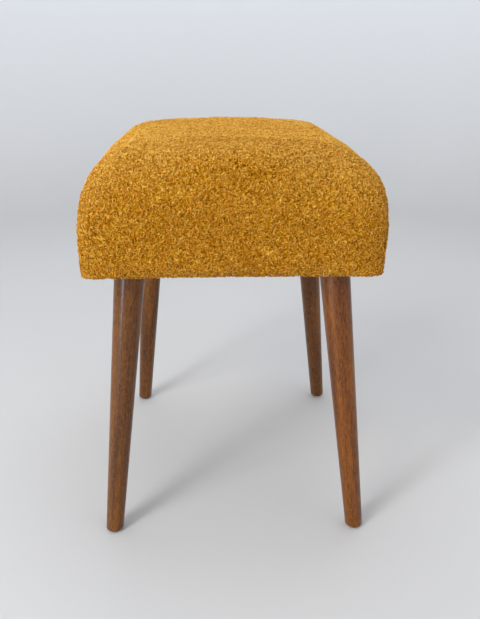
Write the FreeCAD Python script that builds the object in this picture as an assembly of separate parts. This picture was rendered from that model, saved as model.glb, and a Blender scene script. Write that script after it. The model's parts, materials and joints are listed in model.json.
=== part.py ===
import FreeCAD, Part

import math
import os

# Storage ottoman. A padded hood closes over a low box on four splayed legs, and turns back on two
# butt hinges hidden inside its rear lower edge. X is across, Y runs from front to rear, Z is up.
# The origin is on the floor under the middle of the seat. All sizes are in millimetres.

# --- Overall form ---------------------------------------------------------------------------------
SEAT_WIDTH = 320.0
SEAT_DEPTH = 360.0
SEAT_HEIGHT = 450.0
HOOD_HEIGHT = 136.5  # hem to crown
HEM_TUCK = 3.0  # how far the hem is drawn in below the widest line
BELLY_RISE = 66.0  # height of the widest line above the hem
SHOULDER_RUN = 52.0  # sideways reach of each rounded shoulder
CROWN_RISE = 5.0  # rise of the top from shoulder to middle
END_EDGE_RADIUS = 26.0  # between the end faces and the wrapped top and sides

# --- Upholstery -----------------------------------------------------------------------------------
COVER_THICKNESS = 4.0
FOAM_THICKNESS = 44.5
HEM_LIP_THICKNESS = 3.5
HEM_LIP_SETBACK = 1.5  # the turned-under cloth stops this far short of the frame's inner face
STAPLE_CROWN = 10.0
STAPLE_LEG = 6.0
STAPLE_WIRE = 0.9
STAPLES_PER_END = 8
STAPLES_PER_SIDE = 9

# --- Hood frame -----------------------------------------------------------------------------------
SIDE_PADDING = 10.0  # padding between cover and frame at the widest line, left and right
END_PADDING = 8.0  # the same at front and rear
BOARD = 9.0  # skirt and box wall boards
DECK_THICKNESS = 8.0
DECK_CORNER_RADIUS = 16.0
CEILING_PANEL = 3.0
CORNER_BLOCK_LEG = 13.0
CORNER_BLOCK_RISE = 22.0  # blocks start this far above the frame's lower edge

# --- Base and storage box -------------------------------------------------------------------------
BASE_BOARD = 16.0
BASE_RISE = 1.0  # underside of the base board above the hem
BASE_GAP = 2.5  # between the base board and the hood frame, front and sides
BOX_SIDE_SETBACK = 9.5  # box side walls from the base board's edge
SWING_CLEARANCE = 2.9  # between the box's front wall and the skirt that swings past it
MAT_THICKNESS = 2.0
BUMPER_THICKNESS = 3.7
BUMPER_RADIUS = 4.0
CLOSED_GAP = 0.3  # between the bumpers and the closed hood
BATTEN_WIDTH = 20.0
BATTEN_DROP = 10.0
BATTEN_END_GAP = 8.0  # between a batten's end and the leg beside it
REAR_BATTEN_SETBACK = 2.5  # rear batten from the base board's edge
FRONT_BATTEN_SETBACK = 17.0  # the front one stands further in, out of sight
STOP_RADIUS = 4.0
OPEN_GAP = 0.2  # between the stop pads and the hem of the fully open hood

# --- Legs -----------------------------------------------------------------------------------------
LEG_TOP_DIAMETER = 34.0
FOOT_DIAMETER = 20.0
FOOT_ROUNDING = 2.0
LEG_SIDE_INSET = 6.5  # leg top from the base board's side edge
LEG_SPREAD_X = 32.0  # how much further out the foot stands than the leg top
LEG_SPREAD_Y = 35.0
LEG_HEM_CLEARANCE = 0.6  # between a rear leg and the hem of the fully open hood
LEG_SEAT_CLEARANCE = 0.1
BOLT_RADIUS = 4.0
BOLT_IN_LEG = 32.0
TEE_NUT_FLANGE_RADIUS = 10.5
TEE_NUT_FLANGE = 1.5
TEE_NUT_BARREL_RADIUS = 5.2
LEG_NUT_GAP = 1.5  # between the top of a leg and the tee nut above it
THREAD_CLEARANCE = 0.05
GLIDE_RADIUS = 7.0
GLIDE_THICKNESS = 2.5
GLIDE_NAIL_RADIUS = 1.2
GLIDE_NAIL_LENGTH = 14.0

# --- Hinges ---------------------------------------------------------------------------------------
HINGE_LENGTH = 50.0
HINGE_SPACING = 100.0  # between the middles of the two hinges
LEAF_THICKNESS = 1.2
LEAF_HEIGHT = 24.0
PIN_RADIUS = 1.25
PIN_CLEARANCE = 0.05
KNUCKLES = 5
KNUCKLE_GAP = 0.2
KNUCKLE_RELIEF = 0.4
HINGE_RISE = 2.0  # pin above the hem

# --- Screws and pins: shank radius, head radius, head height --------------------------------------
WOOD_SCREW = (1.9, 3.8, 2.4)
HINGE_SCREW = (1.4, 2.7, 1.5)
PANEL_PIN = (0.7, 1.4, 0.6)
WALL_SCREW_BITE = 19.0  # how far a wall screw reaches into its wall
BATTEN_SCREW_LENGTH = 24.0
DECK_SCREW_LENGTH = 26.0
HINGE_SCREW_LENGTH = 8.0
PANEL_PIN_LENGTH = 8.0
SCREW_POINT = 0.25  # share of a screw's length that tapers to its point

# --- Levels, from the floor up --------------------------------------------------------------------
HEM_Z = SEAT_HEIGHT - HOOD_HEIGHT
FRAME_BOTTOM_Z = HEM_Z + HEM_LIP_THICKNESS
BASE_BOTTOM_Z = HEM_Z + BASE_RISE
BASE_TOP_Z = BASE_BOTTOM_Z + BASE_BOARD
DECK_TOP_Z = SEAT_HEIGHT - COVER_THICKNESS - FOAM_THICKNESS
DECK_BOTTOM_Z = DECK_TOP_Z - DECK_THICKNESS
CEILING_Z = DECK_BOTTOM_Z - CEILING_PANEL
WALL_TOP_Z = CEILING_Z - CLOSED_GAP - BUMPER_THICKNESS
HINGE_Z = HEM_Z + HINGE_RISE

# --- Half sizes in plan ---------------------------------------------------------------------------
FRAME_X = SEAT_WIDTH / 2 - SIDE_PADDING - COVER_THICKNESS
FRAME_Y = SEAT_DEPTH / 2 - END_PADDING - COVER_THICKNESS
INNER_X = FRAME_X - BOARD
INNER_Y = FRAME_Y - BOARD
KNUCKLE_RADIUS = PIN_RADIUS + LEAF_THICKNESS
HINGE_Y = INNER_Y - KNUCKLE_RADIUS
BASE_X = INNER_X - BASE_GAP
BASE_FRONT_Y = INNER_Y - BASE_GAP
BASE_REAR_Y = HINGE_Y - KNUCKLE_RADIUS
BOX_X = BASE_X - BOX_SIDE_SETBACK

# The front skirt swings on a radius about the hinge pin, so the front wall stands clear of its arc.
SWING_RADIUS = INNER_Y + HINGE_Y
SWING_SAG = SWING_RADIUS - math.sqrt(SWING_RADIUS**2 - (WALL_TOP_Z - HINGE_Z) ** 2)
BOX_FRONT_Y = INNER_Y - SWING_SAG - SWING_CLEARANCE

# The rear legs stand inside the plane that the hem reaches when the hood is upright.
OPEN_HEM_Z = HINGE_Z - (SEAT_DEPTH / 2 - HINGE_Y)
OPEN_HEM_Y = HINGE_Y - HINGE_RISE
REAR_BATTEN_Y = BASE_REAR_Y - REAR_BATTEN_SETBACK
FRONT_BATTEN_Y = FRONT_BATTEN_SETBACK - BASE_FRONT_Y
BATTEN_SPANS = {
    "front_batten": (FRONT_BATTEN_Y, FRONT_BATTEN_Y + BATTEN_WIDTH),
    "rear_batten": (REAR_BATTEN_Y - BATTEN_WIDTH, REAR_BATTEN_Y),
}
LEG_TOP_X = BASE_X - LEG_SIDE_INSET - LEG_TOP_DIAMETER / 2
BATTEN_X = LEG_TOP_X - LEG_TOP_DIAMETER / 2 - BATTEN_END_GAP
LEG_DRIFT = LEG_SPREAD_Y * (BASE_BOTTOM_Z - OPEN_HEM_Z) / BASE_BOTTOM_Z
LEG_TOP_Y = OPEN_HEM_Y - LEG_HEM_CLEARANCE - LEG_TOP_DIAMETER / 2 - LEG_DRIFT

CORNERS = {
    "front_left": (-1, -1),
    "front_right": (1, -1),
    "rear_left": (-1, 1),
    "rear_right": (1, 1),
}
HINGE_SIDES = {"left": -1, "right": 1}
UP = FreeCAD.Vector(0, 0, 1)
ACROSS = FreeCAD.Vector(1, 0, 0)
BACK = FreeCAD.Vector(0, 1, 0)


# --- Shape helpers --------------------------------------------------------------------------------
def point(x, y, z):
    return FreeCAD.Vector(x, y, z)


def block(x, y, z):
    """A box from three (low, high) pairs."""
    return Part.makeBox(x[1] - x[0], y[1] - y[0], z[1] - z[0], point(x[0], y[0], z[0]))


def rod(start, direction, length, radius):
    return Part.makeCylinder(radius, length, start, direction)


def group(shapes):
    return Part.makeCompound(shapes)


def outline(curves):
    """A flat face inside a closed chain of curves."""
    return Part.Face(Part.Wire([curve.toShape() for curve in curves]))


def screw(head, direction, length, size):
    """A countersunk screw whose head is flush at the point head."""
    shank, top, height = size
    tip = length * SCREW_POINT
    sink = Part.makeCone(top, shank, height, head, direction)
    body = rod(head + direction * height, direction, length - height - tip, shank)
    end = Part.makeCone(shank, 0, tip, head + direction * (length - tip), direction)
    return sink.fuse([body, end]).removeSplitter()


def along(low, high, count):
    """Evenly spaced places between two ends, each half a step in from its end."""
    step = (high - low) / count
    return [low + step * (i + 0.5) for i in range(count)]


# --- Upholstered form -----------------------------------------------------------------------------
def wrap_outline(inset):
    """Front view of the hood: hem, belly, shoulders and crown, drawn in by inset."""
    side = SEAT_WIDTH / 2 - inset
    belly = HEM_Z + BELLY_RISE
    crown = SEAT_HEIGHT - inset
    rise = crown - CROWN_RISE - belly
    diagonal = math.sqrt(0.5)
    shoulder = (side - SHOULDER_RUN * (1 - diagonal), belly + rise * diagonal)
    slope = -2 * CROWN_RISE / (side - SHOULDER_RUN)
    right = [
        (point(side - HEM_TUCK, 0, HEM_Z), point(2 * HEM_TUCK, 0, BELLY_RISE)),
        (point(side, 0, belly), UP),
        (point(shoulder[0], 0, shoulder[1]), point(-SHOULDER_RUN, 0, rise)),
        (point(side - SHOULDER_RUN, 0, belly + rise), point(-1, 0, -slope)),
    ]
    left = [
        (point(-p.x, 0, p.z), point(t.x, 0, -t.z)) for p, t in reversed(right)
    ]
    knots = right + [(point(0, 0, crown), ACROSS * -1)] + left
    curve = Part.BSplineCurve()
    curve.interpolate(
        Points=[p for p, t in knots],
        Tangents=[t.normalize() for p, t in knots],
        TangentFlags=[True] * len(knots),
    )
    return outline([curve, Part.LineSegment(knots[-1][0], knots[0][0])])


def hood_form(inset):
    """The solid loaf inside a surface inset from the cover's outside."""
    half = SEAT_DEPTH / 2 - inset
    face = wrap_outline(inset)
    face.translate(BACK * -half)
    loaf = face.extrude(BACK * (2 * half))
    rims = [
        edge
        for edge in loaf.Edges
        if edge.BoundBox.YLength < 1 and edge.BoundBox.ZMax > HEM_Z + HEM_TUCK
    ]
    return loaf.makeFillet(END_EDGE_RADIUS - inset, rims)


def seat_cover(outer, inner):
    above_frame = block(
        (-SEAT_WIDTH, SEAT_WIDTH),
        (-SEAT_DEPTH, SEAT_DEPTH),
        (FRAME_BOTTOM_Z, SEAT_HEIGHT),
    )
    mouth_x = INNER_X + HEM_LIP_SETBACK
    mouth_y = INNER_Y + HEM_LIP_SETBACK
    mouth = block((-mouth_x, mouth_x), (-mouth_y, mouth_y), (0, SEAT_HEIGHT))
    lip = outer.cut(above_frame).cut(mouth)
    shell = outer.common(above_frame).cut(inner)
    return shell.fuse(lip).removeSplitter()


def padding(inner):
    """Everything between cover and frame: the seat foam and four side pads."""
    envelope = block((-FRAME_X, FRAME_X), (-FRAME_Y, FRAME_Y), (0, DECK_TOP_Z))
    wide = (-SEAT_WIDTH, SEAT_WIDTH)
    deep = (-SEAT_DEPTH, SEAT_DEPTH)
    over_deck = block(wide, deep, (DECK_TOP_Z, SEAT_HEIGHT))
    beside_deck = deck_block().cut(seat_deck())
    foam = inner.common(over_deck.fuse(beside_deck)).removeSplitter()
    height = (FRAME_BOTTOM_Z, DECK_TOP_Z)
    sleeve = inner.common(block(wide, deep, height)).cut(envelope)
    between_ends = (-FRAME_Y, FRAME_Y)
    return {
        "seat_foam": foam,
        "front_pad": sleeve.common(block(wide, (-SEAT_DEPTH, -FRAME_Y), height)),
        "rear_pad": sleeve.common(block(wide, (FRAME_Y, SEAT_DEPTH), height)),
        "left_pad": sleeve.common(
            block((-SEAT_WIDTH, -FRAME_X), between_ends, height)
        ),
        "right_pad": sleeve.common(block((FRAME_X, SEAT_WIDTH), between_ends, height)),
    }


def cover_staples():
    """Flat-crown staples sunk flush in the turned-under hem and driven up into the skirt boards."""
    run_x = INNER_X + BOARD / 2
    run_y = INNER_Y + BOARD / 2
    half = STAPLE_CROWN / 2
    wire = STAPLE_WIRE
    crown = (HEM_Z, HEM_Z + wire)
    shank = (HEM_Z, HEM_Z + STAPLE_LEG)
    staples = []
    for side in (-1, 1):
        for x in along(-INNER_X, INNER_X, STAPLES_PER_END):
            y = side * run_y
            strip = (y - wire / 2, y + wire / 2)
            bridge = block((x - half, x + half), strip, crown)
            legs = [
                block((end - wire / 2, end + wire / 2), strip, shank)
                for end in (x - half, x + half)
            ]
            staples.append(bridge.fuse(legs).removeSplitter())
        for y in along(-INNER_Y, INNER_Y, STAPLES_PER_SIDE):
            x = side * run_x
            strip = (x - wire / 2, x + wire / 2)
            bridge = block(strip, (y - half, y + half), crown)
            legs = [
                block(strip, (end - wire / 2, end + wire / 2), shank)
                for end in (y - half, y + half)
            ]
            staples.append(bridge.fuse(legs).removeSplitter())
    return group(staples)


# --- Hood frame -----------------------------------------------------------------------------------
def skirt_boards():
    height = (FRAME_BOTTOM_Z, DECK_BOTTOM_Z)
    wide = (-FRAME_X, FRAME_X)
    deep = (-INNER_Y, INNER_Y)
    return {
        "front_skirt": block(wide, (-FRAME_Y, -INNER_Y), height),
        "rear_skirt": block(wide, (INNER_Y, FRAME_Y), height),
        "left_skirt": block((-FRAME_X, -INNER_X), deep, height),
        "right_skirt": block((INNER_X, FRAME_X), deep, height),
    }


def deck_block():
    return block(
        (-FRAME_X, FRAME_X), (-FRAME_Y, FRAME_Y), (DECK_BOTTOM_Z, DECK_TOP_Z)
    )


def seat_deck():
    """The seat board, with rounded corners that the foam wraps."""
    square = deck_block()
    upright = [edge for edge in square.Edges if edge.BoundBox.ZLength > DECK_THICKNESS / 2]
    return square.makeFillet(DECK_CORNER_RADIUS, upright)


def ceiling_panel():
    return block((-INNER_X, INNER_X), (-INNER_Y, INNER_Y), (CEILING_Z, DECK_BOTTOM_Z))


def corner_block(side_x, side_y):
    """A glued triangular block in one inner corner of the hood."""
    low = FRAME_BOTTOM_Z + CORNER_BLOCK_RISE
    corner = point(side_x * INNER_X, side_y * INNER_Y, low)
    along_x = corner - ACROSS * (side_x * CORNER_BLOCK_LEG)
    along_y = corner - BACK * (side_y * CORNER_BLOCK_LEG)
    face = Part.Face(Part.makePolygon([corner, along_x, along_y, corner]))
    return face.extrude(UP * (CEILING_Z - low))


def deck_screws():
    line_x = FRAME_X - BOARD / 2
    line_y = FRAME_Y - BOARD / 2
    heads = [(x, y) for x in along(-INNER_X, INNER_X, 2) for y in (-line_y, line_y)]
    heads += [(x, y) for x in (-line_x, line_x) for y in along(-INNER_Y, INNER_Y, 3)]
    return group(
        [
            screw(point(x, y, DECK_TOP_Z), UP * -1, DECK_SCREW_LENGTH, WOOD_SCREW)
            for x, y in heads
        ]
    )


def ceiling_pins():
    line_x = INNER_X - BOARD
    line_y = INNER_Y - 2 * BOARD
    heads = [(x, y) for x in (-line_x, line_x) for y in (-line_y, 0, line_y)]
    heads += [(0, -line_y), (0, line_y)]
    return group(
        [
            screw(point(x, y, CEILING_Z), UP, PANEL_PIN_LENGTH, PANEL_PIN)
            for x, y in heads
        ]
    )


# --- Hinges ---------------------------------------------------------------------------------------
def knuckle_spans(middle, of_lid):
    """The X spans of one leaf's knuckles: the base leaf has the outer ones."""
    step = HINGE_LENGTH / KNUCKLES
    start = middle - HINGE_LENGTH / 2
    first = 1 if of_lid else 0
    return [
        (start + i * step + KNUCKLE_GAP / 2, start + (i + 1) * step - KNUCKLE_GAP / 2)
        for i in range(first, KNUCKLES, 2)
    ]


def knuckle_tubes(middle, of_lid, radius, extra=0.0):
    return [
        rod(point(low - extra, HINGE_Y, HINGE_Z), ACROSS, high - low + 2 * extra, radius)
        for low, high in knuckle_spans(middle, of_lid)
    ]


def leaf_screw_places(middle):
    """Three screws a leaf: two low near the ends, one high in the middle."""
    reach = HINGE_LENGTH / 2 - HINGE_LENGTH / 6
    low = HINGE_Z + LEAF_HEIGHT / 3
    high = HINGE_Z + LEAF_HEIGHT * 0.8
    return [(middle - reach, low), (middle + reach, low), (middle, high)]


def hinge_screws(of_lid):
    """Heads flush with the leaf faces that meet when the hood is shut."""
    face = PIN_RADIUS if of_lid else -PIN_RADIUS
    inward = BACK if of_lid else BACK * -1
    return group(
        [
            screw(
                point(x, HINGE_Y + face, z), inward, HINGE_SCREW_LENGTH, HINGE_SCREW
            )
            for side in HINGE_SIDES.values()
            for x, z in leaf_screw_places(side * HINGE_SPACING / 2)
        ]
    )


def hinge_leaf(middle, of_lid, screws):
    """One leaf with its knuckles. The lid leaf lies on the rear skirt, the base leaf on the box."""
    near, far = PIN_RADIUS, KNUCKLE_RADIUS
    depth = (near, far) if of_lid else (-far, -near)
    span = (middle - HINGE_LENGTH / 2, middle + HINGE_LENGTH / 2)
    plate = block(
        span,
        (HINGE_Y + depth[0], HINGE_Y + depth[1]),
        (HINGE_Z, HINGE_Z + LEAF_HEIGHT),
    )
    other = knuckle_tubes(
        middle, not of_lid, KNUCKLE_RADIUS + KNUCKLE_RELIEF, KNUCKLE_GAP
    )
    own = knuckle_tubes(middle, of_lid, KNUCKLE_RADIUS)
    bore = PIN_RADIUS + PIN_CLEARANCE if of_lid else PIN_RADIUS
    hole = rod(point(span[0] - 1, HINGE_Y, HINGE_Z), ACROSS, HINGE_LENGTH + 2, bore)
    return plate.cut(other).fuse(own).cut(hole).removeSplitter().cut(screws)


def hinge_pin(middle):
    start = point(middle - HINGE_LENGTH / 2, HINGE_Y, HINGE_Z)
    return rod(start, ACROSS, HINGE_LENGTH, PIN_RADIUS)


def hinge_relief():
    """Room for the turning knuckles in the base's rear edge."""
    return [
        rod(
            point(side * HINGE_SPACING / 2 - HINGE_LENGTH / 2, HINGE_Y, HINGE_Z),
            ACROSS,
            HINGE_LENGTH,
            KNUCKLE_RADIUS + KNUCKLE_RELIEF,
        )
        for side in HINGE_SIDES.values()
    ]


# --- Legs and their fixings -----------------------------------------------------------------------
class LegLine:
    """The sloping centre line of one leg, and the places along it."""

    def __init__(self, side_x, side_y):
        top = point(side_x * LEG_TOP_X, side_y * LEG_TOP_Y, BASE_BOTTOM_Z)
        spread = point(side_x * LEG_SPREAD_X, side_y * LEG_SPREAD_Y, 0)
        self.foot = point(top.x, top.y, 0) + spread
        self.axis = (top - self.foot).normalize()
        self.tilt = self.axis.getAngle(UP)
        radius = LEG_TOP_DIAMETER / 2
        self.seat = top + self.axis * (radius * math.tan(self.tilt))

    def at_height(self, z):
        return self.foot + self.axis * (z / self.axis.z)


def leg(line):
    """A straight turned taper, cut level at the foot and square to its own line at the top."""
    length = (line.seat - line.foot).Length
    slope = (LEG_TOP_DIAMETER - FOOT_DIAMETER) / 2 / length
    below = FOOT_DIAMETER
    taper = Part.makeCone(
        FOOT_DIAMETER / 2 - slope * below,
        LEG_TOP_DIAMETER / 2,
        length + below,
        line.foot - line.axis * below,
        line.axis,
    )
    reach = 2 * (SEAT_WIDTH + SEAT_DEPTH)
    ground = block((-reach, reach), (-reach, reach), (-reach, GLIDE_THICKNESS))
    turned = taper.cut(ground)
    rim = [edge for edge in turned.Edges if edge.BoundBox.ZMax < 2 * GLIDE_THICKNESS]
    return turned.makeFillet(FOOT_ROUNDING, rim)


def hanger_bolt(line):
    up = (BASE_TOP_Z - line.seat.z) / line.axis.z - TEE_NUT_FLANGE
    start = line.seat - line.axis * BOLT_IN_LEG
    return rod(start, line.axis, BOLT_IN_LEG + up, BOLT_RADIUS)


def tee_nut_flange_foot(line):
    """Where the flange's lower face crosses the leg line, with its highest rim just below the mat."""
    drop = TEE_NUT_FLANGE_RADIUS * math.sin(line.tilt) + LEG_SEAT_CLEARANCE
    return line.at_height(BASE_TOP_Z - drop) - line.axis * TEE_NUT_FLANGE


def tee_nut_barrel(line):
    """The barrel reaches down from its flange to just above the top of the leg."""
    return (tee_nut_flange_foot(line) - line.seat).Length - LEG_NUT_GAP


def tee_nut(line):
    foot = tee_nut_flange_foot(line)
    barrel_length = tee_nut_barrel(line)
    flange = rod(foot, line.axis, TEE_NUT_FLANGE, TEE_NUT_FLANGE_RADIUS)
    barrel = rod(foot, line.axis * -1, barrel_length, TEE_NUT_BARREL_RADIUS)
    thread = rod(
        foot - line.axis * barrel_length,
        line.axis,
        barrel_length + TEE_NUT_FLANGE,
        BOLT_RADIUS + THREAD_CLEARANCE,
    )
    return flange.fuse(barrel).cut(thread).removeSplitter()


def leg_cuts(line):
    """What one leg takes out of the base board: its seat, the bolt hole and the tee nut's room."""
    seat_radius = LEG_TOP_DIAMETER / 2 + LEG_SEAT_CLEARANCE
    foot = tee_nut_flange_foot(line)
    return [
        rod(line.seat, line.axis * -1, BASE_BOARD, seat_radius),
        rod(line.seat, line.axis, BASE_BOARD, BOLT_RADIUS + THREAD_CLEARANCE),
        rod(foot, line.axis * -1, tee_nut_barrel(line), TEE_NUT_BARREL_RADIUS),
        rod(foot, line.axis, BASE_BOARD, TEE_NUT_FLANGE_RADIUS),
    ]


def glide(line):
    """A nail-on glide: a flat disc with a broken lower edge and a nail up into the foot."""
    middle = line.at_height(GLIDE_THICKNESS)
    start = point(middle.x, middle.y, 0)
    disc = rod(start, UP, GLIDE_THICKNESS, GLIDE_RADIUS)
    rim = [edge for edge in disc.Edges if edge.BoundBox.ZMax < GLIDE_THICKNESS / 2]
    disc = disc.makeChamfer(GLIDE_THICKNESS / 3, rim)
    nail = rod(start, UP, GLIDE_THICKNESS + GLIDE_NAIL_LENGTH, GLIDE_NAIL_RADIUS)
    return disc.fuse(nail).removeSplitter()


# --- Base and storage box -------------------------------------------------------------------------
def base_board():
    return block(
        (-BASE_X, BASE_X), (-BASE_FRONT_Y, BASE_REAR_Y), (BASE_BOTTOM_Z, BASE_TOP_Z)
    )


def battens():
    wide = (-BATTEN_X, BATTEN_X)
    height = (BASE_BOTTOM_Z - BATTEN_DROP, BASE_BOTTOM_Z)
    return {name: block(wide, span, height) for name, span in BATTEN_SPANS.items()}


def box_walls():
    height = (BASE_TOP_Z, WALL_TOP_Z)
    wide = (-BOX_X, BOX_X)
    deep = (-BOX_FRONT_Y + BOARD, BASE_REAR_Y - BOARD)
    return {
        "box_front_wall": block(wide, (-BOX_FRONT_Y, deep[0]), height),
        "box_rear_wall": block(wide, (deep[1], BASE_REAR_Y), height),
        "box_left_wall": block((-BOX_X, -BOX_X + BOARD), deep, height),
        "box_right_wall": block((BOX_X - BOARD, BOX_X), deep, height),
    }


def floor_mat():
    inside_x = BOX_X - BOARD
    return block(
        (-inside_x, inside_x),
        (-BOX_FRONT_Y + BOARD, BASE_REAR_Y - BOARD),
        (BASE_TOP_Z, BASE_TOP_Z + MAT_THICKNESS),
    )


def bumpers():
    """Rubber studs on the box's upper edge that carry the closed hood."""
    x = BOX_X - 3 * BUMPER_RADIUS
    lines = (-BOX_FRONT_Y + BOARD / 2, BASE_REAR_Y - BOARD / 2)
    places = [(side, y) for side in (-x, 0, x) for y in lines]
    return group(
        [
            rod(point(x, y, WALL_TOP_Z), UP, BUMPER_THICKNESS, BUMPER_RADIUS)
            for x, y in places
        ]
    )


def stop_pads():
    """Rubber pads on the rear batten where the hem comes to rest when the hood stands open."""
    reach = BATTEN_X - 3 * STOP_RADIUS
    z = BASE_BOTTOM_Z - BATTEN_DROP / 2
    thickness = OPEN_HEM_Y - OPEN_GAP - REAR_BATTEN_Y
    return group(
        [
            rod(point(side * reach, REAR_BATTEN_Y, z), BACK, thickness, STOP_RADIUS)
            for side in HINGE_SIDES.values()
        ]
    )


def screw_start(x, y):
    """Level of a wall screw's head: the batten's underside where there is one."""
    under = any(low < y < high for low, high in BATTEN_SPANS.values())
    return BASE_BOTTOM_Z - BATTEN_DROP if under and abs(x) < BATTEN_X else BASE_BOTTOM_Z


def wall_screws():
    """Up through the base board into the four box walls."""
    side_line = BOX_X - BOARD / 2
    between_legs = LEG_TOP_Y - LEG_TOP_DIAMETER
    places = [(x, BOARD / 2 - BOX_FRONT_Y) for x in along(-BATTEN_X, BATTEN_X, 2)]
    places += [(0, BASE_REAR_Y - BOARD / 2)]
    for y in along(-between_legs, between_legs, 2):
        places += [(-side_line, y), (side_line, y)]
    screws = []
    for x, y in places:
        low = screw_start(x, y)
        length = BASE_TOP_Z - low + WALL_SCREW_BITE
        screws.append(screw(point(x, y, low), UP, length, WOOD_SCREW))
    return group(screws)


def batten_screws():
    low = BASE_BOTTOM_Z - BATTEN_DROP
    reach = BATTEN_X - BATTEN_WIDTH / 2
    screws = []
    for near, far in BATTEN_SPANS.values():
        for x in (-reach, reach):
            head = point(x, (near + far) / 2, low)
            screws.append(screw(head, UP, BATTEN_SCREW_LENGTH, WOOD_SCREW))
    return group(screws)


# --- Assembly -------------------------------------------------------------------------------------
def hood_nodes():
    outer = hood_form(0.0)
    inner = hood_form(COVER_THICKNESS)
    lid_screws = hinge_screws(True)
    fixings = {
        "cover_staples": cover_staples(),
        "deck_screws": deck_screws(),
        "ceiling_pins": ceiling_pins(),
        "hinge_lid_screws": lid_screws,
    }
    nodes = {"seat_cover": seat_cover(outer, inner), "seat_deck": seat_deck()}
    nodes.update(padding(inner))
    nodes.update(skirt_boards())
    nodes["ceiling_panel"] = ceiling_panel()
    for name, (side_x, side_y) in CORNERS.items():
        nodes["corner_block_" + name] = corner_block(side_x, side_y)
    holes = {
        "seat_cover": ["cover_staples"],
        "seat_deck": ["deck_screws", "ceiling_pins"],
        "ceiling_panel": ["ceiling_pins"],
        "front_skirt": ["deck_screws", "cover_staples"],
        "rear_skirt": ["deck_screws", "cover_staples", "hinge_lid_screws"],
        "left_skirt": ["deck_screws", "cover_staples"],
        "right_skirt": ["deck_screws", "cover_staples"],
    }
    for name, used in holes.items():
        nodes[name] = nodes[name].cut([fixings[one] for one in used])
    for name, side in HINGE_SIDES.items():
        middle = side * HINGE_SPACING / 2
        nodes["hinge_lid_leaf_" + name] = hinge_leaf(middle, True, lid_screws)
    nodes.update(fixings)
    return nodes


def base_nodes():
    lines = {name: LegLine(*sides) for name, sides in CORNERS.items()}
    base_screws = hinge_screws(False)
    fixings = {
        "hanger_bolts": group([hanger_bolt(line) for line in lines.values()]),
        "tee_nuts": group([tee_nut(line) for line in lines.values()]),
        "wall_screws": wall_screws(),
        "batten_screws": batten_screws(),
        "hinge_base_screws": base_screws,
    }
    nodes = {
        "floor_mat": floor_mat(),
        "bumpers": bumpers(),
        "stop_pads": stop_pads(),
    }
    for name, line in lines.items():
        nodes["glide_" + name] = glide(line)
        nodes["leg_" + name] = leg(line).cut(
            [hanger_bolt(line), nodes["glide_" + name]]
        )
    cuts = [cut for line in lines.values() for cut in leg_cuts(line)]
    threads = [fixings[name] for name in ("wall_screws", "batten_screws")]
    boards = {"base_board": base_board().cut(cuts)}
    boards.update(battens())
    boards.update(box_walls())
    for name, board in boards.items():
        nodes[name] = board.cut(threads + [base_screws] + hinge_relief())
    for name, side in HINGE_SIDES.items():
        middle = side * HINGE_SPACING / 2
        nodes["hinge_base_leaf_" + name] = hinge_leaf(middle, False, base_screws)
        nodes["hinge_pin_" + name] = hinge_pin(middle)
    nodes.update(fixings)
    return nodes


def main():
    os.makedirs("parts", exist_ok=True)
    for nodes in (hood_nodes(), base_nodes()):
        for name, shape in nodes.items():
            solids = shape.Solids
            if not solids or not all(solid.isValid() for solid in solids):
                raise RuntimeError(name + " is not a valid solid")
            whole = solids[0] if len(solids) == 1 else group(solids)
            whole.exportStep("parts/" + name + ".step")


main()
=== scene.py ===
"""Looks for the storage ottoman: a mustard boucle hood over a plywood box on four walnut legs.

The hood's cover is inflated as cloth over the CAD form, then given a looped pile.
Every other piece keeps its CAD shape and gets a procedural material.
"""

import json
import math

import bmesh
import bpy
import numpy as np
from mathutils import Matrix, Vector, noise


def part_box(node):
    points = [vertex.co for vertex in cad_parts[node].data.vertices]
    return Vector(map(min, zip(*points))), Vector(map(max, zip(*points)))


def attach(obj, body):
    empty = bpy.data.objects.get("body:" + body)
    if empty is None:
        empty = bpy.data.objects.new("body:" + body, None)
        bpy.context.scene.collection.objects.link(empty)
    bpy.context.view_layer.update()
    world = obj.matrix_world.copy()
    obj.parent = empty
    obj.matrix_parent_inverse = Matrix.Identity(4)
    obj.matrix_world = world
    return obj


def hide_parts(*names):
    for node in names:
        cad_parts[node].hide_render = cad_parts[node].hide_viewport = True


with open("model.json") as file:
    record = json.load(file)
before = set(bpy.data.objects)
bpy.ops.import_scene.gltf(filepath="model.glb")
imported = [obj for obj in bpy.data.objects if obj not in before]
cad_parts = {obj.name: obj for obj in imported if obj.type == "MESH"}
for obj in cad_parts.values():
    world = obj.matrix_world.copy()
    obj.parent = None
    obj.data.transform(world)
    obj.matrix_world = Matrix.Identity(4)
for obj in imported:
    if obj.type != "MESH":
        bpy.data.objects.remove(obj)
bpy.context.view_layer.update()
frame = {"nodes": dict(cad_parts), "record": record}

MM = 0.001

# --- The hood's form, from the frame --------------------------------------------------------------
COVER_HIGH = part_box("seat_cover")[1]
HEM_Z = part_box("cover_staples")[0].z
TOP_Z = COVER_HIGH.z
HALF_WIDTH = COVER_HIGH.x
HALF_DEPTH = COVER_HIGH.y
FRAME_X = -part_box("left_skirt")[0].x
FRAME_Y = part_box("rear_skirt")[1].y
MOUTH_SETBACK = 1.5 * MM  # the turned-under cloth stops this far outside the frame's inner face
MOUTH_X = -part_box("left_skirt")[1].x + MOUTH_SETBACK
MOUTH_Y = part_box("rear_skirt")[0].y + MOUTH_SETBACK
LIP_TOP_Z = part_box("left_skirt")[0].z
RIM_GAP = 0.3 * MM  # between the cut edge of the cloth and the frame above it
DECK_TOP_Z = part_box("seat_deck")[1].z
CROWN_RISE = 5.7 * MM
HEM_TUCK = 3 * MM
LEAN = 3.4 * MM  # the padding's upper half leans this far, left at the rear and right at the front
LEAN_START = 20 * MM  # the lean starts this far above the hem
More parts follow.
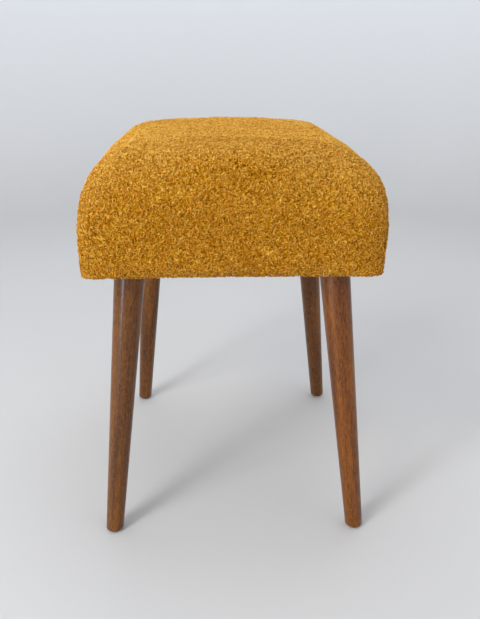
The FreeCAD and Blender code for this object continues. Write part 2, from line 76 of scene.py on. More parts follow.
LEAN_RISE = 80 * MM  # and is full this much higher

# Each side of the hand-packed padding: height of the belly above the hem, reach and fullness of the
# shoulder, and the edge radius on the shoulder at the front and at the rear.
SIDES = {
    "left": {"rise": 70.9 * MM, "run": 41 * MM, "power": 1.95, "front": 54 * MM, "rear": 36 * MM},
    "right": {"rise": 65.6 * MM, "run": 57 * MM, "power": 2.24, "front": 56 * MM, "rear": 36 * MM},
}
EDGE_RADIUS_LOW = 13.4 * MM
EDGE_RADIUS_TOP = 20 * MM

# --- Cloth and pile -------------------------------------------------------------------------------
START_INSET = 0.5 * MM  # the cloth starts this far inside the finished form
TOP_INSET = 3.0 * MM  # the same at the crown, where it swells most
VOXEL = 5.2 * MM
PRESSURE = 4.0
CLOTH_FRAMES = 20
SWELL_CAP = 3.0 * MM
UNDERSIDE = 2 * MM  # faces within this height of the hem belong to the underside

# The shoulders are pressed in from PRESS_START in front of the middle, above the deck.
FRONT_PRESS = 3.4 * MM
PRESS_START = 20 * MM
PRESS_RUN = 110 * MM
PRESS_RISE = 30 * MM

LIP_LIFT = 0.5 * MM  # the stapled lip is pulled up this far, so the staples stand proud of it
HEM_FLARE = 1.8 * MM
HEM_EDGE = 9 * MM  # height over which the flare fades
HEM_REACH = 30 * MM  # height over which the dips and the ripple fade
HEM_SIDE_DIP = 2.4 * MM
HEM_CORNER_DIP = 4.6 * MM
HEM_RIPPLE = 0.7 * MM
HEM_RIPPLE_PITCH = 38 * MM

PILE_HEIGHT = 1.1 * MM
PILE_PITCH = 3.4 * MM
TUFT_HEIGHT = 0.35 * MM
TUFT_PITCH = 17 * MM
CURLS = 44000
CURL_STEPS = 5
CURL_SIDES = 4
CURL_REACH = (0.7 * MM, 1.4 * MM)
CURL_THICKNESS = (0.35 * MM, 0.52 * MM)
CURL_HEIGHT = 1.25 * MM
CURL_ROOT = 0.4 * MM
CURL_BEND = 0.6  # most that a curl bends sideways, as a share of its reach
CURL_START, CURL_TURN = -0.15, 1.3  # where a curl's arc starts, and its length, in half turns
CURL_RISE = 0.6 * MM  # lowest curls above the hem
CURL_REAR_RISE = 3.5 * MM  # the same along the rear, which comes down close to the legs when open
REAR_HEM_Y = 150 * MM
CURL_WEAR = 0.28  # how much paler one curl may be than the next
TOP_PAINTED_LIGHT = 0.15  # painted light: how much paler the yarn is made where the cloth faces up, for the brighter light and sheen there
SEED = 11


# --- Form -----------------------------------------------------------------------------------------
def smooth(x):
    x = min(max(x, 0.0), 1.0)
    return x * x * (3 - 2 * x)


def wrap_section(side, steps=22):
    """Half of the hood's front view, from the hem up to the middle of the crown."""
    half = HALF_WIDTH - START_INSET
    belly = HEM_Z + side["rise"]
    lift = TOP_Z - TOP_INSET - CROWN_RISE - belly
    line = []
    for i in range(steps):
        t = i / steps
        line.append((half - HEM_TUCK * (1 - t) ** 2, HEM_Z + side["rise"] * t))
    for i in range(steps):
        angle = math.pi / 2 * i / steps
        inward = 1 - math.cos(angle) ** (2 / side["power"])
        upward = math.sin(angle) ** (2 / side["power"])
        line.append((half - side["run"] * inward, belly + lift * upward))
    flat = half - side["run"]
    for i in range(steps + 1):
        x = flat * (1 - i / steps)
        line.append((x, belly + lift + CROWN_RISE * (1 - (x / flat) ** 2)))
    return line


def edge_radius(i, count, shoulder):
    """Radius of the end edge: tight up to the belly, wide on the shoulder, medium on top.

    t runs from 0 at the hem through 1 at the belly and 2 at the top of the shoulder to 3.
    """
    t = i / (count - 1) * 3
    wide = EDGE_RADIUS_LOW + (shoulder - EDGE_RADIUS_LOW) * smooth((min(t, 2) - 0.71) / 0.95)
    return wide + (EDGE_RADIUS_TOP - wide) * smooth((t - 1.8) / 1.1)


def section_normals(line):
    """Outward directions along the section, level at the hem."""
    points = np.array(line)
    along = np.gradient(points, axis=0)
    out = np.stack([along[:, 1], -along[:, 0]], axis=1)
    out[0] = (1, 0)
    return out / np.linalg.norm(out, axis=1)[:, None]


def end_rings(side, end, turns=8):
    """Half rings of one end's edge, from where it leaves the wrap to where it meets the face."""
    line = wrap_section(side)
    out = section_normals(line)
    rings = []
    for k in range(turns + 1):
        angle = math.pi / 2 * k / turns
        ring = []
        for i, (x, z) in enumerate(line):
            radius = edge_radius(i, len(line), side[end])
            drawn = radius * (1 - math.cos(angle))
            back = HALF_DEPTH - START_INSET - radius * (1 - math.sin(angle))
            tuck = HEM_TUCK * (1 - smooth((z - HEM_Z) / side["rise"]))
            ring.append((x - out[i][0] * drawn, back - tuck, z - out[i][1] * drawn))
        rings.append(ring)
    return rings


def whole_rings(end, way):
    """The rings of one end, joined from both sides, with the padding's lean."""
    rings = []
    for right, left in zip(end_rings(SIDES["right"], end), end_rings(SIDES["left"], end)):
        ring = right + [(-x, y, z) for x, y, z in reversed(left[:-1])]
        leant = []
        for x, y, z in ring:
            height = smooth((z - HEM_Z - LEAN_START) / LEAN_RISE)
            leant.append((x - way * LEAN * height * y / HALF_DEPTH, way * y, z))
        rings.append(leant)
    return rings


def loaf():
    """The closed starting form of the hood, a little inside its finished surface."""
    rings = whole_rings("front", -1)[::-1] + whole_rings("rear", 1)
    mesh = bmesh.new()
    loops = [[mesh.verts.new(p) for p in ring] for ring in rings]
    for a, b in zip(loops, loops[1:]):
        for i in range(len(a)):
            j = (i + 1) % len(a)
            mesh.faces.new((a[i], a[j], b[j], b[i]))
    mesh.faces.new(loops[0][::-1])
    mesh.faces.new(loops[-1])
    bmesh.ops.recalc_face_normals(mesh, faces=mesh.faces)
    return add_mesh("hood_cover", mesh)


# --- Mesh helpers ---------------------------------------------------------------------------------
def add_mesh(name, mesh):
    data = bpy.data.meshes.new(name)
    mesh.to_mesh(data)
    mesh.free()
    piece = bpy.data.objects.new(name, data)
    bpy.context.scene.collection.objects.link(piece)
    return piece


def coordinates(data):
    flat = np.empty(len(data.vertices) * 3, np.float32)
    data.vertices.foreach_get("co", flat)
    return flat.reshape(-1, 3).astype(float)


def set_coordinates(data, points):
    data.vertices.foreach_set("co", points.astype(np.float32).ravel())
    data.update()


def normals(data):
    flat = np.empty(len(data.vertices) * 3, np.float32)
    data.vertices.foreach_get("normal", flat)
    return flat.reshape(-1, 3).astype(float)


def shade_smooth(piece):
    piece.data.polygons.foreach_set("use_smooth", [True] * len(piece.data.polygons))


def evaluated(piece):
    graph = bpy.context.evaluated_depsgraph_get()
    return bpy.data.meshes.new_from_object(piece.evaluated_get(graph), depsgraph=graph)


def apply_modifiers(piece):
    data = evaluated(piece)
    piece.modifiers.clear()
    piece.data = data


def remesh(piece, size):
    modifier = piece.modifiers.new("remesh", "REMESH")
    modifier.mode = "VOXEL"
    modifier.voxel_size = size
    apply_modifiers(piece)


def subdivide(piece, levels):
    modifier = piece.modifiers.new("subdivide", "SUBSURF")
    modifier.levels = levels
    modifier.render_levels = levels
    apply_modifiers(piece)


def noise_field(points, pitch, shift=(0.0, 0.0, 0.0)):
    """Smooth noise from about -1 to 1, with features about one pitch across."""
    scaled = points / pitch + np.array(shift)
    return np.array([noise.noise(p) for p in scaled.tolist()])


# --- The cover ------------------------------------------------------------------------------------
def inflate(piece):
    """Cloth under air pressure, held along the hem, with its travel capped."""
    start = coordinates(piece.data)
    held = piece.vertex_groups.new(name="held")
    low = [i for i, p in enumerate(start) if p[2] < HEM_Z + VOXEL]
    held.add(low, 1.0, "REPLACE")
    modifier = piece.modifiers.new("swell", "CLOTH")
    settings = modifier.settings
    settings.quality = 6
    settings.use_pressure = True
    settings.uniform_pressure_force = PRESSURE
    settings.vertex_group_mass = held.name
    settings.effector_weights.gravity = 0
    modifier.point_cache.frame_start = 1
    modifier.point_cache.frame_end = CLOTH_FRAMES
    scene = bpy.context.scene
    for number in range(1, CLOTH_FRAMES + 1):
        scene.frame_set(number)
    swollen = coordinates(evaluated(piece))
    piece.modifiers.clear()
    piece.vertex_groups.clear()
    travel = swollen - start
    length = np.linalg.norm(travel, axis=1)
    scale = np.minimum(1.0, SWELL_CAP / np.maximum(length, 1e-9))
    set_coordinates(piece.data, start + travel * scale[:, None])


def open_underside(piece):
    """Cuts the mouth in the closed form, leaving the turned-under hem, and turns the rim up."""
    mesh = bmesh.new()
    mesh.from_mesh(piece.data)
    cuts = ((MOUTH_X, 0), (-MOUTH_X, 0), (MOUTH_Y, 1), (-MOUTH_Y, 1))
    for place, axis in cuts:
        normal = Vector((1, 0, 0)) if axis == 0 else Vector((0, 1, 0))
        low = [f for f in mesh.faces if f.calc_center_median().z < HEM_Z + UNDERSIDE]
        bits = low + [e for f in low for e in f.edges] + [v for f in low for v in f.verts]
        bmesh.ops.bisect_plane(
            mesh, geom=list(set(bits)), plane_co=normal * place, plane_no=normal
        )
    inside = []
    for face in mesh.faces:
        middle = face.calc_center_median()
        within = abs(middle.x) < MOUTH_X and abs(middle.y) < MOUTH_Y
        if within and middle.z < HEM_Z + UNDERSIDE:
            inside.append(face)
    bmesh.ops.delete(mesh, geom=inside, context="FACES")
    rim = [e for e in mesh.edges if e.is_boundary]
    raised = bmesh.ops.extrude_edge_only(mesh, edges=rim)
    for part in raised["geom"]:
        if isinstance(part, bmesh.types.BMVert):
            part.co.z = LIP_TOP_Z - RIM_GAP
    bmesh.ops.recalc_face_normals(mesh, faces=mesh.faces)
    mesh.to_mesh(piece.data)
    mesh.free()


def press_shoulders(piece):
    """Presses the padding in a little on the shoulders, more and more towards the front."""
    points = coordinates(piece.data)
    out = normals(piece.data)
    slant = np.clip(2 * np.abs(out[:, 0]) * np.maximum(out[:, 2], 0), 0, 1)
    forward = np.clip((-points[:, 1] - PRESS_START) / PRESS_RUN, 0, 1)
    above = np.clip((points[:, 2] - DECK_TOP_Z + 2 * MM) / PRESS_RISE, 0, 1)
    depth = FRONT_PRESS * slant * above * forward * forward * (3 - 2 * forward)
    set_coordinates(piece.data, points - out * depth[:, None])


def shape_hem(piece):
    """Dips the hem towards the tucked corners, squares its edge, and pulls the stapled lip flat."""
    points = coordinates(piece.data)
    out = normals(piece.data)
    x, y = np.abs(points[:, 0]), np.abs(points[:, 1])
    past_x = (x - FRAME_X) / (HALF_WIDTH - HEM_TUCK - FRAME_X)
    past_y = (y - FRAME_Y) / (HALF_DEPTH - HEM_TUCK - FRAME_Y)
    outside = np.clip(np.maximum(past_x, past_y), 0, 1)
    low = 1 - np.clip((points[:, 2] - HEM_Z) / HEM_REACH, 0, 1)
    low = low * low * (3 - 2 * low) * outside
    edge = 1 - np.clip((points[:, 2] - HEM_Z) / HEM_EDGE, 0, 1)
    flare = HEM_FLARE * edge * edge * outside
    lip = 1 - np.clip((points[:, 2] - HEM_Z) / UNDERSIDE, 0, 1)
    x, y = x / HALF_WIDTH, y / HALF_DEPTH
    ripple = noise_field(points, HEM_RIPPLE_PITCH) * HEM_RIPPLE
    points[:, 2] += low * (ripple - HEM_SIDE_DIP * x**3 - HEM_CORNER_DIP * (x * y) ** 6)
    points[:, 2] += LIP_LIFT * lip * (1 - outside)
    points[:, :2] += out[:, :2] * flare[:, None]
    set_coordinates(piece.data, points)


def pile(points):
    """Height of the looped pile, from 0 in the gaps to 1 on the crests of the curls."""
    bend = np.stack(
        [noise_field(points, PILE_PITCH * 1.7, (s, s, s)) for s in (3.1, 7.7, 12.9)],
        axis=1,
    )
    bent = points + bend * PILE_PITCH * 0.9
    worm = 1 - np.abs(noise_field(bent, PILE_PITCH)) * 2.6
    return np.clip(worm, 0, 1)


def raise_pile(piece):
    """Moves the dense surface out by the pile, and leaves the turned-under lip flat.

    The attribute "pile" tells the cloth's material how high the yarn is, which it paints paler on
    the crests, plus painted light where the cloth faces up.
    """
    points = coordinates(piece.data)
    out = normals(piece.data)
    height = pile(points)
    tuft = noise_field(points, TUFT_PITCH, (40, 0, 0))
    under = np.clip((points[:, 2] - HEM_Z - 0.5 * MM) / (3 * MM), 0, 1)
    lift = (height * PILE_HEIGHT + tuft * TUFT_HEIGHT) * under
    set_coordinates(piece.data, points + out * lift[:, None])
    layer = piece.data.attributes.new("pile", "FLOAT", "POINT")
    # Pile height plus painted light: the value is raised where the cloth faces up.
    lightened = height * under + 2 * TOP_PAINTED_LIGHT * np.maximum(out[:, 2], 0)
    layer.data.foreach_set("value", lightened.astype(np.float32))


def hood_cover():
    """The padded cover with its pile, which stands for the CAD's cover, foam and pads."""
    piece = loaf()
    remesh(piece, VOXEL)
    inflate(piece)
    open_underside(piece)
    subdivide(piece, 2)
    press_shoulders(piece)
    shape_hem(piece)
    raise_pile(piece)
    shade_smooth(piece)
    piece.data.materials.clear()
    piece.data.materials.append(boucle())
    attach(piece, "hood")
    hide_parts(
        "seat_cover", "seat_foam", "front_pad", "rear_pad", "left_pad", "right_pad"
    )
    return piece


def loose_curls(cover):
    """Short open loops of yarn all over the cloth: each leaves it, arches over and returns."""
    draw = np.random.default_rng(SEED)
    points = coordinates(cover.data)
    out = normals(cover.data)
    low = np.where(points[:, 1] > REAR_HEM_Y, CURL_REAR_RISE, CURL_RISE)
    chosen = draw.choice(np.nonzero(points[:, 2] > HEM_Z + low)[0], CURLS, replace=False)
    root, out = points[chosen] - out[chosen] * CURL_ROOT, out[chosen]
    side = np.cross(out, draw.normal(size=out.shape))
    side /= np.linalg.norm(side, axis=1)[:, None]
    across = np.cross(out, side)
    reach = draw.uniform(*CURL_REACH, CURLS)[:, None]
    bend = draw.uniform(-CURL_BEND, CURL_BEND, CURLS)[:, None]
    thick = draw.uniform(*CURL_THICKNESS, CURLS)[:, None]
    # Random paler curls, plus painted light: curls are made paler where the cloth faces up.
    lightened = CURL_WEAR * draw.uniform(0, 1, CURLS) + TOP_PAINTED_LIGHT * np.maximum(out[:, 2], 0)
    verts = np.empty((CURLS, CURL_STEPS, CURL_SIDES, 3))
    yarn = np.empty((CURLS, CURL_STEPS, CURL_SIDES))
    for i in range(CURL_STEPS):
        angle = math.pi * (CURL_START + CURL_TURN * i / (CURL_STEPS - 1))
        c, s = math.cos(angle), math.sin(angle)
        middle = root + side * reach * c + out * CURL_HEIGHT * s
        middle += across * reach * bend * math.sin(angle * 2)
        radial = side * c + out * s
        for k in range(CURL_SIDES):
            a = 2 * math.pi * k / CURL_SIDES
            verts[:, i, k] = middle + (radial * math.cos(a) + across * math.sin(a)) * thick
            # Painted shade and highlight: the value is low where the curl leaves the cloth and on
            # the inner side of its tube, high on its crest and outer side.
            yarn[:, i, k] = 0.4 * max(s, 0) + 0.15 * max(math.cos(a), 0) + lightened
    step = np.arange(CURL_STEPS - 1)[:, None] * CURL_SIDES
    k = np.arange(CURL_SIDES)[None, :]
    j = (k + 1) % CURL_SIDES
    wall = np.stack([step + k, step + j, step + j + CURL_SIDES, step + k + CURL_SIDES], axis=-1)
    last = CURL_SIDES * (CURL_STEPS - 1)
    caps = np.stack([k[0][::-1], k[0] + last])
    one = np.concatenate([wall.reshape(-1, 4), caps])
    first = np.arange(CURLS)[:, None, None] * (CURL_STEPS * CURL_SIDES)
    faces = (one[None] + first).reshape(-1, 4)
    data = bpy.data.meshes.new("loose_curls")
    data.from_pydata(verts.reshape(-1, 3).tolist(), [], faces.tolist())
    layer = data.attributes.new("yarn", "FLOAT", "POINT")
    layer.data.foreach_set("value", yarn.ravel().astype(np.float32))
    piece = bpy.data.objects.new("loose_curls", data)
    bpy.context.scene.collection.objects.link(piece)
    shade_smooth(piece)
    data.materials.append(curl_yarn())
    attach(piece, "hood")
    return piece


# --- Node helpers ---------------------------------------------------------------------------------
class Graph:
    """A material's node tree with short calls for the nodes that these materials use."""

    def __init__(self, name, roughness, metallic=0.0):
        self.material = bpy.data.materials.new(name)
        self.material.use_nodes = True
        self.tree = self.material.node_tree
        self.shader = self.tree.nodes["Principled BSDF"]
        self.shader.inputs["Roughness"].default_value = roughness
        self.shader.inputs["Metallic"].default_value = metallic

    def node(self, kind, **values):
        made = self.tree.nodes.new(kind)
        for name, value in values.items():
            setattr(made, name, value)
        return made

    def join(self, source, target):
        self.tree.links.new(source, target)

    def feed(self, target, value):
        if isinstance(value, (int, float)):
            target.default_value = value
        else:
            self.join(value, target)

    def place(self, scale=(1, 1, 1), turn=(0, 0, 0)):
        """Object coordinates, turned and then stretched."""
        source = self.node("ShaderNodeTexCoord").outputs["Object"]
        turned = self.node("ShaderNodeMapping")
        turned.inputs["Rotation"].default_value = turn
        self.join(source, turned.inputs["Vector"])
        stretched = self.node("ShaderNodeMapping")
        stretched.inputs["Scale"].default_value = scale
        self.join(turned.outputs["Vector"], stretched.inputs["Vector"])
        return stretched.outputs["Vector"]

    def noise(self, where, scale, detail=3.0, rough=0.55, colour=False):
        made = self.node("ShaderNodeTexNoise")
        made.inputs["Scale"].default_value = scale
        made.inputs["Detail"].default_value = detail
        made.inputs["Roughness"].default_value = rough
        self.join(where, made.inputs["Vector"])
        return made.outputs["Color" if colour else "Fac"]

    def voronoi(self, where, scale, feature="F1"):
        made = self.node("ShaderNodeTexVoronoi", feature=feature)
        made.inputs["Scale"].default_value = scale
        self.join(where, made.inputs["Vector"])
        return made.outputs["Distance"]

    def maths(self, operation, a, b=0.0, clamp=False):
        made = self.node("ShaderNodeMath", operation=operation, use_clamp=clamp)
        self.feed(made.inputs[0], a)
        self.feed(made.inputs[1], b)
        return made.outputs["Value"]

    def offset(self, where, by, amount):
        """Moves a coordinate by a colour centred on grey."""
        centred = self.node("ShaderNodeVectorMath", operation="SUBTRACT")
        self.join(by, centred.inputs[0])
        centred.inputs[1].default_value = (0.5, 0.5, 0.5)
        scaled = self.node("ShaderNodeVectorMath", operation="SCALE")
        self.join(centred.outputs["Vector"], scaled.inputs[0])
        scaled.inputs["Scale"].default_value = amount
        added = self.node("ShaderNodeVectorMath", operation="ADD")
        self.join(where, added.inputs[0])
        self.join(scaled.outputs["Vector"], added.inputs[1])
        return added.outputs["Vector"]

    def ramp(self, value, stops):
        made = self.node("ShaderNodeValToRGB")
        elements = made.color_ramp.elements
        while len(elements) < len(stops):
            elements.new(0.5)
        for element, (place, colour) in zip(elements, stops):
            element.position = place
            element.color = (*colour, 1)
        self.join(value, made.inputs["Fac"])
        return made.outputs["Color"]

    def mix(self, amount, a, b, kind="MIX"):
        made = self.node("ShaderNodeMix", data_type="RGBA", blend_type=kind)
        self.feed(made.inputs[0], amount)
        for socket, value in ((made.inputs[6], a), (made.inputs[7], b)):
            if isinstance(value, tuple):
                socket.default_value = (*value, 1)
            else:
                self.join(value, socket)
        return made.outputs[2]

    def colour(self, value):
        self.join(value, self.shader.inputs["Base Color"])

    def roughness(self, value, low, high):
        spread = self.node("ShaderNodeMapRange")
        spread.inputs["To Min"].default_value = low
        spread.inputs["To Max"].default_value = high
        self.join(value, spread.inputs["Value"])
        self.join(spread.outputs["Result"], self.shader.inputs["Roughness"])

    def bump(self, height, distance, strength=1.0):
        made = self.node("ShaderNodeBump")
        made.inputs["Distance"].default_value = distance
        made.inputs["Strength"].default_value = strength
        self.join(height, made.inputs["Height"])
        self.join(made.outputs["Normal"], self.shader.inputs["Normal"])


# --- Materials ------------------------------------------------------------------------------------
# The darkest yarn colour is painted shade in the gaps between the loops; the palest is a painted
# highlight and sheen on their crests.
GAP_SHADE_COLOUR = (0.085, 0.020, 0.001)
RED_YARN = (0.540, 0.160, 0.001)
YARN_COLOUR = (0.560, 0.225, 0.002)
TIP_HIGHLIGHT_COLOUR = (0.870, 0.550, 0.115)


def yarn_sheen(graph):
    """The soft gold bloom of the yarn's loose fibres."""
    graph.shader.inputs["Sheen Weight"].default_value = 0.35
    graph.shader.inputs["Sheen Roughness"].default_value = 0.28
    graph.shader.inputs["Sheen Tint"].default_value = (1.0, 0.8, 0.34, 1)
    graph.shader.inputs["Specular IOR Level"].default_value = 0.01


def slow_tone(graph, where):
    """A slow drift in tone over the cloth."""
    drift = graph.noise(where, 16, detail=2.0)
    return graph.ramp(drift, [(0.3, (0.92, 0.88, 0.84)), (0.7, (1.0, 1.0, 1.0))])


def strands(graph, where, pitch, thin, shift):
    """Thin curled lines: where a bent noise field crosses its middle value."""
    moved = graph.node("ShaderNodeMapping")
    moved.inputs["Location"].default_value = (shift, shift, shift)
    graph.join(where, moved.inputs["Vector"])
    bend = graph.noise(moved.outputs["Vector"], 0.55 / pitch, detail=1.0, colour=True)
    bent = graph.offset(moved.outputs["Vector"], bend, pitch * 2.4)
    field = graph.noise(bent, 1 / pitch, detail=0.5)
    away = graph.maths("ABSOLUTE", graph.maths("SUBTRACT", field, 0.5))
    return graph.maths("SUBTRACT", 1.0, graph.maths("MULTIPLY", away, thin), clamp=True)


def boucle():
    """Thin curled strands of yarn over gaps painted darker as shade, with a painted highlight on
    the crests and a slow drift in tone.
    """
    graph = Graph("boucle", 0.9)
    where = graph.place()
    over = strands(graph, where, 3.3 * MM, 9.0, 0.0)
    below = strands(graph, where, 2.6 * MM, 8.0, 0.37)
    crest = graph.maths("MAXIMUM", over, graph.maths("MULTIPLY", below, 0.72))
    fibre = graph.noise(where, 1700, detail=2.0)
    crest = graph.maths("MULTIPLY", crest, 0.6)
    crest = graph.maths("ADD", crest, graph.maths("MULTIPLY", fibre, 0.3))
    # The pile attribute paints the pile's crests paler, and the cloth that faces up paler still, as
    # painted light.
    height = graph.node("ShaderNodeAttribute", attribute_name="pile").outputs["Fac"]
    crest = graph.maths("ADD", crest, graph.maths("MULTIPLY", height, 0.25))
    # Painted shade in the gaps, the yarn's own colour, then a painted highlight on the crests.
    stops = [(0.1, GAP_SHADE_COLOUR), (0.62, YARN_COLOUR), (1.15, TIP_HIGHLIGHT_COLOUR)]
    base = graph.ramp(crest, stops)
    graph.colour(graph.mix(1.0, base, slow_tone(graph, where), "MULTIPLY"))
    graph.bump(crest, 1.5 * MM)
    yarn_sheen(graph)
    return graph.material


def curl_yarn():
    """Yarn with painted shade where it leaves the cloth and a painted highlight on the crest of
    each loop.
    """
    graph = Graph("curl_yarn", 0.9)
    where = graph.place()
    fibre = graph.noise(where, 1900, detail=2.0)
    crest = graph.node("ShaderNodeAttribute", attribute_name="yarn").outputs["Fac"]
    crest = graph.maths("ADD", crest, graph.maths("MULTIPLY", fibre, 0.3))
    # Painted shade at the roots of the curls, reaching down to the darkest gap colour on the red
    # curls.
    root_shade = tuple(0.7 * a + 0.3 * b for a, b in zip(GAP_SHADE_COLOUR, RED_YARN))
    plain = graph.ramp(crest, [(0.26, root_shade), (0.6, YARN_COLOUR), (0.95, TIP_HIGHLIGHT_COLOUR)])
    red = graph.ramp(crest, [(0.28, GAP_SHADE_COLOUR), (0.66, RED_YARN), (1.0, TIP_HIGHLIGHT_COLOUR)])
    patch = graph.ramp(graph.noise(where, 260, detail=1.0), [(0.42, (0, 0, 0)), (0.6, (1, 1, 1))])
    base = graph.mix(patch, plain, red)
    graph.colour(graph.mix(1.0, base, slow_tone(graph, where), "MULTIPLY"))
    graph.bump(fibre, 0.2 * MM)
    yarn_sheen(graph)
    return graph.material


def walnut(name, axis, light_warmth):
    """Dark stained wood: fine short flecks along the leg, a few broad bands, a satin lacquer."""
    graph = Graph(name, 0.3)
    tilt = tuple(Vector(axis).rotation_difference(Vector((0, 0, 1))).to_euler())
    grain = graph.place(scale=(1, 1, 0.055), turn=tilt)
    waver = graph.noise(grain, 30, colour=True)
    bands = graph.noise(graph.offset(grain, waver, 0.012), 95, detail=5.0)
    dark, mid, light = (0.070, 0.021, 0.003), (0.135, 0.044, 0.004), (0.225, 0.078, 0.006)
    stops = [(0.3, dark), (0.5, mid), (0.72, light)]
    # The stops are tinted by the leg's painted warm light, plain on most legs.
    warm = [(place, tuple(a * b for a, b in zip(colour, light_warmth))) for place, colour in stops]
    base = graph.ramp(bands, warm)
    short = graph.place(scale=(1, 1, 0.11), turn=tilt)
    pore = graph.noise(short, 1000, detail=2.0)
    pores = graph.ramp(pore, [(0.36, (0.42, 0.38, 0.36)), (0.56, (1, 1, 1))])
    stained = graph.mix(0.85, base, pores, "MULTIPLY")
    ray = graph.noise(graph.place(scale=(1, 1, 0.24), turn=tilt), 1100, detail=1.0)
    rays = graph.ramp(ray, [(0.6, (0, 0, 0)), (0.78, (0.6, 0.6, 0.6))])
    graph.colour(graph.mix(rays, stained, (0.36, 0.125, 0.014)))
    graph.roughness(pore, 0.42, 0.26)
    graph.bump(pore, 0.08 * MM, 0.7)
    graph.shader.inputs["Specular IOR Level"].default_value = 0.22
    graph.shader.inputs["Coat Weight"].default_value = 0.34
    graph.shader.inputs["Coat Roughness"].default_value = 0.24
    return graph.material


def plywood(name, light, dark, stretch):
    """Pale wood with grain lines along the axis that stretch shortens, and a few small knots."""
    graph = Graph(name, 0.62)
    grain = graph.place(scale=stretch)
    lines = graph.noise(grain, 60, detail=6.0, rough=0.6)
    base = graph.ramp(lines, [(0.3, dark), (0.7, light)])
    knots = graph.voronoi(graph.place(), 11)
    shade = graph.ramp(knots, [(0.0, (0.6, 0.5, 0.42)), (0.12, (1, 1, 1))])
    graph.colour(graph.mix(0.7, base, shade, "MULTIPLY"))
    graph.roughness(lines, 0.7, 0.52)
    graph.bump(lines, 0.15 * MM)
    return graph.material


def felt():
    """The dark mat on the floor of the box."""
    graph = Graph("felt", 0.95)
    where = graph.place()
    fluff = graph.noise(where, 900, detail=6.0, rough=0.75)
    graph.colour(graph.ramp(fluff, [(0.3, (0.012, 0.012, 0.014)), (0.7, (0.065, 0.066, 0.072))]))
    graph.bump(fluff, 0.5 * MM)
    graph.shader.inputs["Sheen Weight"].default_value = 0.4
    return graph.material


def lining():
    """Dark lining paper with a faint weave and uneven tone."""
    graph = Graph("lining", 0.85)
    where = graph.place()
    weave = graph.noise(where, 1400, detail=2.0)
    blotch = graph.noise(where, 26, detail=4.0)
    stops = [(0.35, (0.020, 0.019, 0.018)), (0.65, (0.052, 0.050, 0.048))]
    graph.colour(graph.mix(0.5, graph.ramp(weave, stops), graph.ramp(blotch, stops)))
    graph.bump(weave, 0.2 * MM)
    return graph.material


def foam(name, light, dark, size):
    """Open cells, pale with darker middles; size is how many fit in a metre."""
    graph = Graph(name, 0.95)
    where = graph.place()
    cells = graph.voronoi(where, size)
    graph.colour(graph.ramp(cells, [(0.0, dark), (0.5, light)]))
    graph.bump(cells, 0.6 * MM)
    return graph.material


def moulded(name, colour, spread, scale):
    """Rubber and nylon: a fine moulded grain with slight wear."""
    graph = Graph(name, 0.6)
    where = graph.place()
    grain = graph.noise(where, scale, detail=3.0)
    lightened = tuple(c * spread for c in colour)
    graph.colour(graph.ramp(grain, [(0.3, colour), (0.8, lightened)]))
    graph.roughness(grain, 0.5, 0.75)
    graph.bump(grain, 0.08 * MM)
    return graph.material


def metal(name, colour, rough, scratch):
    """Bare metal with fine scratches drawn out along the axis that scratch shortens."""
    graph = Graph(name, rough, metallic=1.0)
    brushed = graph.noise(graph.place(scale=scratch), 400, detail=3.0)
    dull = tuple(c * 0.72 for c in colour)
    graph.colour(graph.ramp(brushed, [(0.3, dull), (0.7, colour)]))
    graph.roughness(brushed, rough * 0.75, rough * 1.35)
    graph.bump(brushed, 0.03 * MM)
    return graph.material


WARM_LIGHT_LEG = (1.3, 1.12, 0.5)  # painted warm light: one leg's colour is made redder for the warmer light falling on it


def leg_axis(node):
    """Direction of a leg's centre line, from the middles of its two ends."""
    points = coordinates(frame["nodes"][node].data)
    low, high = points[:, 2].min(), points[:, 2].max()
    span = high - low
    foot = points[points[:, 2] < low + 0.25 * span].mean(axis=0)
    points = points[points[:, 2] > high - 0.06 * span]
    lean = points.mean(axis=0) - foot
    return tuple(lean / np.linalg.norm(lean))


def dress(names, material):
    """Gives CAD nodes a material."""
    for name in names:
        data = frame["nodes"][name].data
        data.materials.clear()
        data.materials.append(material)


def dress_frame():
    """Every CAD piece gets the material of its slot."""
    slots = {}
    for part in frame["record"]["subparts"]:
        slots.setdefault(part["material_slot"], []).append(part["node"])
    for node in slots["walnut"]:
        # Painted warm light on the front right leg.
        light_warmth = WARM_LIGHT_LEG if node == "leg_front_right" else (1, 1, 1)
        dress([node], walnut(node + "_wood", leg_axis(node), light_warmth))
    pale, tan = (0.60, 0.43, 0.25), (0.40, 0.26, 0.13)
    across, upright = (0.06, 1, 1), (1, 0.06, 1)
    dress(slots["plywood"], plywood("plywood_cross", pale, tan, across))
    sides = ["left_skirt", "right_skirt", "box_left_wall", "box_right_wall"]
    dress(sides, plywood("plywood_sides", pale, tan, upright))
    dress(slots["pine"], plywood("pine", (0.70, 0.50, 0.27), (0.50, 0.32, 0.15), across))
    dress(slots["felt"], felt())
    dress(slots["lining_board"], lining())
    dress(slots["boucle"], boucle())
    dress(slots["foam"], foam("foam", (0.82, 0.76, 0.55), (0.55, 0.49, 0.31), 900))
    dress(slots["wadding"], foam("wadding", (0.88, 0.87, 0.84), (0.62, 0.61, 0.58), 420))
    dress(slots["nylon"], moulded("nylon", (0.022, 0.021, 0.021), 2.6, 700))
    dress(slots["rubber"], moulded("rubber", (0.014, 0.014, 0.014), 2.2, 1100))
    dress(slots["steel"], metal("steel", (0.58, 0.57, 0.55), 0.32, (0.05, 1, 1)))
    dress(slots["zinc"], metal("zinc", (0.66, 0.66, 0.62), 0.4, (1, 1, 0.4)))


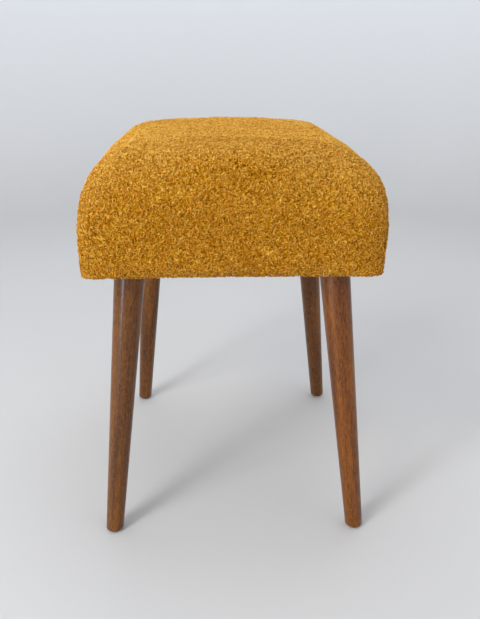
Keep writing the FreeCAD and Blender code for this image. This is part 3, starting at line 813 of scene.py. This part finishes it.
# --- Studio ---------------------------------------------------------------------------------------
def backdrop():
    """A pale round floor whose far edge sweeps up into a wall, alike from every side."""
    flat, curve, wall = 1.7, 0.8, 2.6
    profile = [(0.0, 0.0), (flat, 0.0)]
    for i in range(1, 13):
        angle = math.pi / 2 * i / 12
        profile.append((flat + curve * math.sin(angle), curve * (1 - math.cos(angle))))
    profile.append((flat + curve, wall))
    mesh = bmesh.new()
    line = [mesh.verts.new((r, 0, z)) for r, z in profile]
    edges = [mesh.edges.new(pair) for pair in zip(line, line[1:])]
    bmesh.ops.spin(
        mesh, geom=line + edges, cent=(0, 0, 0), axis=(0, 0, 1), angle=2 * math.pi, steps=96
    )
    bmesh.ops.remove_doubles(mesh, verts=mesh.verts, dist=1e-5)
    bmesh.ops.recalc_face_normals(mesh, faces=mesh.faces)
    piece = add_mesh("floor", mesh)
    shade_smooth(piece)
    graph = Graph("floor", 0.75)
    where = graph.place()
    soft = graph.noise(where, 1.2, detail=2.0)
    ground = graph.ramp(soft, [(0.3, (0.585, 0.585, 0.59)), (0.7, (0.605, 0.605, 0.61))])
    apart = graph.node("ShaderNodeSeparateXYZ")
    graph.join(where, apart.inputs["Vector"])
    lift = graph.maths("MULTIPLY", apart.outputs["Z"], 1 / curve, clamp=True)
    graph.colour(graph.mix(lift, ground, (0.84, 0.86, 0.89)))
    piece.data.materials.append(graph.material)


def area_light(name, place, target, size, power, colour):
    data = bpy.data.lights.new(name, "AREA")
    data.shape = "RECTANGLE"
    data.size, data.size_y = size
    data.energy = power
    data.color = colour
    lamp = bpy.data.objects.new(name, data)
    lamp.location = place
    lamp.rotation_mode = "QUATERNION"
    aim = Vector(target) - Vector(place)
    lamp.rotation_quaternion = aim.to_track_quat("-Z", "Y")
    bpy.context.scene.collection.objects.link(lamp)


def studio():
    backdrop()
    middle = (0, 0, 0.25)
    area_light("key", (-1.3, -1.5, 1.9), middle, (1.0, 1.0), 25, (1.0, 0.95, 0.88))
    area_light("window", (-1.2, -1.45, 0.55), middle, (0.3, 1.1), 16, (0.84, 0.92, 1.0))
    area_light("fill", (1.7, -1.2, 1.2), middle, (1.6, 1.6), 4, (1.0, 0.90, 0.78))
    area_light("top", (0.1, 0.5, 2.0), middle, (1.2, 1.2), 9, (1.0, 0.98, 0.95))
    world = bpy.data.worlds.new("studio")
    world.use_nodes = True
    background = world.node_tree.nodes["Background"]
    background.inputs["Color"].default_value = (0.86, 0.89, 0.93, 1)
    background.inputs["Strength"].default_value = 0.75
    scene = bpy.context.scene
    scene.world = world
    scene.view_settings.view_transform = "Standard"


def camera():
    """A view from the front and a little above the seat, looking down at it."""
    data = bpy.data.cameras.new("camera")
    data.lens = 39.55
    data.sensor_width = 36
    data.clip_start = 0.05
    view = bpy.data.objects.new("camera", data)
    pitch, yaw, roll = math.radians(20.15), 0.0229, -0.0037
    ahead = Vector(
        (math.sin(yaw) * math.cos(pitch), math.cos(yaw) * math.cos(pitch), -math.sin(pitch))
    )
    view.location = (-0.0082, -0.8448, 0.525)
    view.rotation_mode = "QUATERNION"
    level = ahead.to_track_quat("-Z", "Y")
    view.rotation_quaternion = level @ Matrix.Rotation(roll, 3, "Z").to_quaternion()
    bpy.context.scene.collection.objects.link(view)
    bpy.context.scene.camera = view


camera()
dress_frame()
cover = hood_cover()
loose_curls(cover)
studio()
